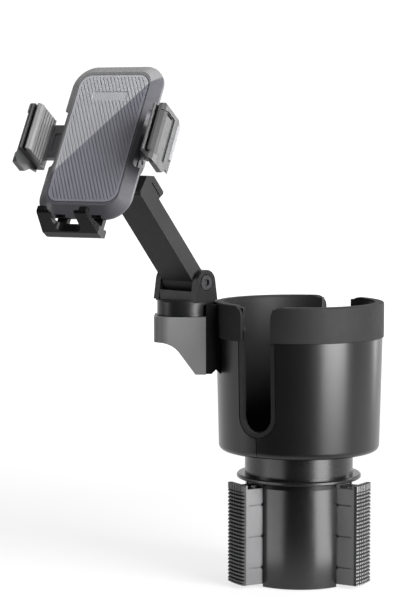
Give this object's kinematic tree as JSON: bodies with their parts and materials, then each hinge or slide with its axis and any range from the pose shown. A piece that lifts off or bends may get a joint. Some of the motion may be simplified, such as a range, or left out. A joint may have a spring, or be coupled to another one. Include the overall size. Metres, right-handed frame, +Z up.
{
  "type": "car phone mount",
  "caption": "Cup-holder expander with spreading jaws and a slotted cup, carrying a swivelling, tilting arm and a ball-jointed phone cradle.",
  "frame": {"origin": "centre of the base's underside, on the cup's axis", "axes": "+Z up along the cup's axis, front (the side the phone faces) towards -Y, bracket towards -X"},
  "size_m": [0.2352, 0.1646, 0.3336],
  "materials": {
    "base_plastic": "satin moulded black",
    "jaw_plastic": "satin moulded dark grey",
    "pad_rubber": "matte",
    "rack_nylon": "natural nylon",
    "neck_plastic": "satin moulded black",
    "cup_gloss": "satin gloss black",
    "band_matte": "matte dark grey",
    "liner_plastic": "matte black",
    "bracket_plastic": "satin mid grey",
    "rail_plastic": "matte black",
    "turret_plastic": "satin black",
    "arm_plastic": "fine grained black",
    "steel": "zinc plated",
    "black_steel": "blackened",
    "ball_alloy": "turned",
    "cradle_plastic": "satin black",
    "face_rubber": "ribbed, matte",
    "grip_plastic": "satin dark grey"
  },
  "bodies": {
    "base": {"base_shell": "base_plastic", "base_cover": "base_plastic", "base_screws": "steel", "base_cap": "base_plastic", "cap_screws": "steel"},
    "jaw_left_slide": {"jaw_left": "jaw_plastic", "jaw_pad_left": "pad_rubber", "rack_left": "rack_nylon"},
    "jaw_right_slide": {"jaw_right": "jaw_plastic", "jaw_pad_right": "pad_rubber", "rack_right": "rack_nylon"},
    "jaw_rear_slide": {"jaw_rear": "jaw_plastic", "jaw_pad_rear": "pad_rubber", "rack_rear": "rack_nylon"},
    "cup": {"spindle": "rack_nylon", "spindle_screws": "steel", "neck": "neck_plastic", "neck_screws": "steel", "cup_shell": "cup_gloss", "cup_liner": "liner_plastic", "rim_band": "band_matte", "floor_mat": "pad_rubber", "side_rail": "rail_plastic", "bracket": "bracket_plastic", "bracket_screws": "steel"},
    "turret_body": {"turret": "turret_plastic", "turret_bolt": "steel", "turret_washer": "steel", "hinge_bolt": "black_steel", "hinge_nut": "black_steel", "hinge_washers": "rack_nylon"},
    "arm": {"arm_shell": "arm_plastic", "arm_cover": "arm_plastic", "arm_block": "arm_plastic", "arm_screws": "steel", "ball_stud": "ball_alloy"},
    "liner": {"ball_liner": "rack_nylon"},
    "ring": {"pressure_ring": "cradle_plastic"},
    "cradle": {"cradle_back": "cradle_plastic", "front_plate": "cradle_plastic", "face_pad": "face_rubber", "cradle_screws": "steel"},
    "nut": {"ball_nut": "cradle_plastic"},
    "clamp_left": {"slider_left": "cradle_plastic", "grip_left": "grip_plastic", "grip_pad_left": "pad_rubber"},
    "clamp_right": {"slider_right": "cradle_plastic", "grip_right": "grip_plastic", "grip_pad_right": "pad_rubber"},
    "gear": {"clamp_gear": "rack_nylon"},
    "foot_slide": {"foot": "grip_plastic", "foot_pad": "pad_rubber"},
    "release": {"release_button": "cradle_plastic"}
  },
  "joints": [
    {"name": "cup_twist", "type": "hinge", "parent": "base", "child": "cup", "pos_m": [0, 0, 0], "axis": [0, 0, 1], "range_deg": [0, 114]},
    {"name": "jaw_left_in", "type": "slide", "parent": "base", "child": "jaw_left_slide", "axis": [0.866, 0.5, 0], "range_m": [0, 0.012]},
    {"name": "jaw_right_in", "type": "slide", "parent": "base", "child": "jaw_right_slide", "axis": [-0.866, 0.5, 0], "range_m": [0, 0.012]},
    {"name": "jaw_rear_in", "type": "slide", "parent": "base", "child": "jaw_rear_slide", "axis": [0, -1, 0], "range_m": [0, 0.012]},
    {"name": "turret_swivel", "type": "hinge", "parent": "cup", "child": "turret_body", "pos_m": [-0.0742, 0, 0.174], "axis": [0, 0, 1], "range_deg": [-80, 60]},
    {"name": "arm_tilt", "type": "hinge", "parent": "turret_body", "child": "arm", "pos_m": [-0.0742, 0, 0.196], "axis": [0.7206, -0.6934, 0], "range_deg": [-50, 20]},
    {"name": "head_tilt", "type": "hinge", "parent": "arm", "child": "liner", "pos_m": [-0.11673, -0.04131, 0.27541], "axis": [0.9056, -0.4242, 0], "range_deg": [-8, 8]},
    {"name": "head_pan", "type": "hinge", "parent": "liner", "child": "ring", "pos_m": [-0.11673, -0.04131, 0.27541], "axis": [0.2223, 0.4745, 0.8517], "range_deg": [-8, 8]},
    {"name": "head_roll", "type": "hinge", "parent": "ring", "child": "cradle", "pos_m": [-0.11673, -0.04131, 0.27541], "axis": [-0.3613, -0.7713, 0.524], "range_deg": [-95, 95]},
    {"name": "nut_spin", "type": "hinge", "parent": "cradle", "child": "nut", "pos_m": [-0.11673, -0.04131, 0.27541], "axis": [-0.3613, -0.7713, 0.524], "range_deg": [-30, 180]},
    {"name": "clamp", "type": "slide", "parent": "cradle", "child": "clamp_left", "axis": [0.9056, -0.4242, 0], "range_m": [-0.004, 0.008]},
    {"name": "clamp_follow", "type": "slide", "parent": "cradle", "child": "clamp_right", "axis": [-0.9056, 0.4242, 0], "range_m": [-0.004, 0.008]},
    {"name": "gear_spin", "type": "hinge", "parent": "cradle", "child": "gear", "pos_m": [-0.12181, -0.05216, 0.28514], "axis": [0.3613, 0.7713, -0.524], "range_deg": [-40, 80]},
    {"name": "foot_extend", "type": "slide", "parent": "cradle", "child": "foot_slide", "axis": [-0.2223, -0.4745, -0.8517], "range_m": [-0.0015, 0.012]},
    {"name": "release_press", "type": "slide", "parent": "cradle", "child": "release", "axis": [-0.3613, -0.7713, 0.524], "range_m": [0, 0.0015], "stiffness_N_per_m": 400}
  ],
  "couplings": [
    {"joint": "jaw_left_in", "follows": "cup_twist", "m_per_rad": 0.006},
    {"joint": "jaw_right_in", "follows": "cup_twist", "m_per_rad": 0.006},
    {"joint": "jaw_rear_in", "follows": "cup_twist", "m_per_rad": 0.006},
    {"joint": "clamp_follow", "follows": "clamp", "ratio": 1},
    {"joint": "gear_spin", "follows": "clamp", "rad_per_m": 166.67}
  ]
}
